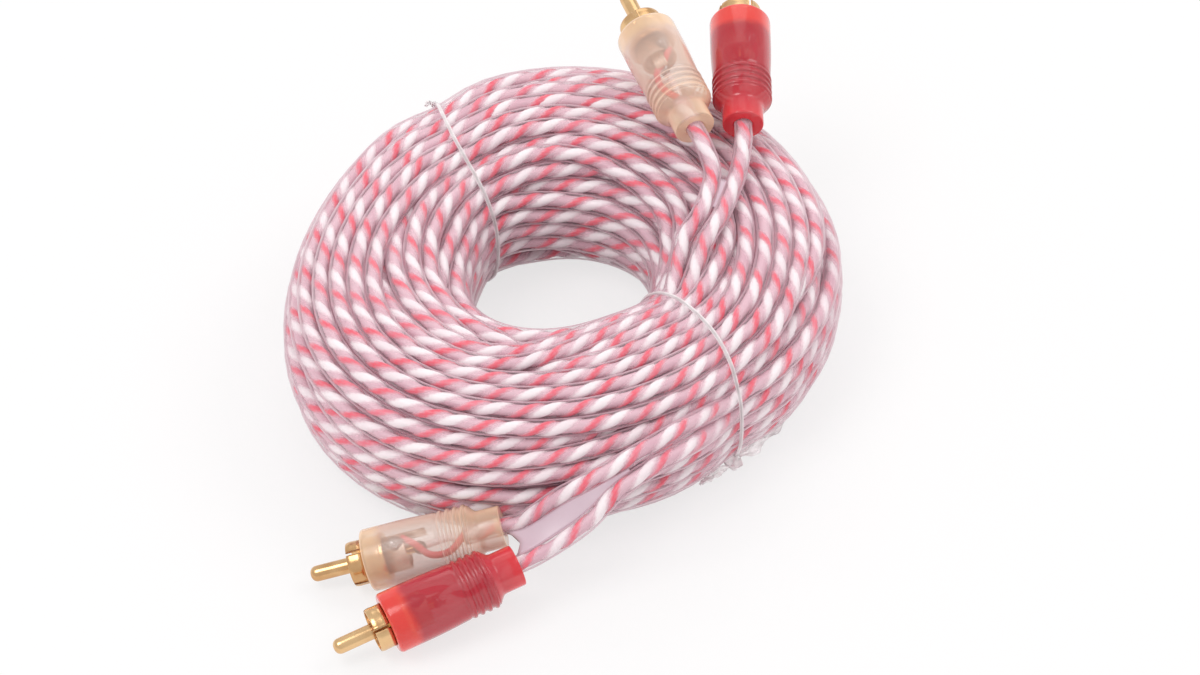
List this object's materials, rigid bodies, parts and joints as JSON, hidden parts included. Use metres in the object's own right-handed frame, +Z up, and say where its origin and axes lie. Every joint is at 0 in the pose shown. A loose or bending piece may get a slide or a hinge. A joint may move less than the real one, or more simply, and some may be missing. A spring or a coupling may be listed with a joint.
{
  "type": "rca audio cable",
  "caption": "Long twin stereo phono lead in a clear jacket, wound into a round coil held by wire ties, with moulded clear and red plugs at both ends.",
  "frame": {"origin": "centre of the footprint, on the surface that the coil and the front plugs lie on", "axes": "+Z up, along the coil axis; +Y from the front plugs to the back plugs; +X to the right as seen from the front plugs"},
  "size_m": [0.1152, 0.1551, 0.0505],
  "materials": {
    "jacket": "clear flexible PVC with a lilac-pink cast",
    "clear_plug": "clear moulded PVC, faintly amber",
    "red_plug": "translucent red moulded PVC",
    "plated_metal": "bright gold-coloured plating on brass",
    "insulator": "natural white nylon",
    "white_core": "white insulated conductor",
    "red_core": "red insulated conductor",
    "wire_tie": "clear plastic film over a thin wire"
  },
  "bodies": {
    "root": {"coil_bundle": "jacket", "left_wire_tie": "wire_tie", "right_wire_tie": "wire_tie", "front_clear_lead": "jacket", "front_clear_plug_body": "clear_plug", "front_clear_ground_shell": "plated_metal", "front_clear_centre_pin": "plated_metal", "front_clear_pin_insulator": "insulator", "front_clear_signal_core": "white_core", "front_clear_ground_core": "red_core", "front_red_lead": "jacket", "front_red_plug_body": "red_plug", "front_red_ground_shell": "plated_metal", "front_red_centre_pin": "plated_metal", "front_red_pin_insulator": "insulator", "front_red_signal_core": "white_core", "front_red_ground_core": "red_core", "back_clear_lead": "jacket", "back_clear_plug_body": "clear_plug", "back_clear_ground_shell": "plated_metal", "back_clear_centre_pin": "plated_metal", "back_clear_pin_insulator": "insulator", "back_clear_signal_core": "white_core", "back_clear_ground_core": "red_core", "back_red_lead": "jacket", "back_red_plug_body": "red_plug", "back_red_ground_shell": "plated_metal", "back_red_centre_pin": "plated_metal", "back_red_pin_insulator": "insulator", "back_red_signal_core": "white_core", "back_red_ground_core": "red_core"}
  },
  "joints": []
}
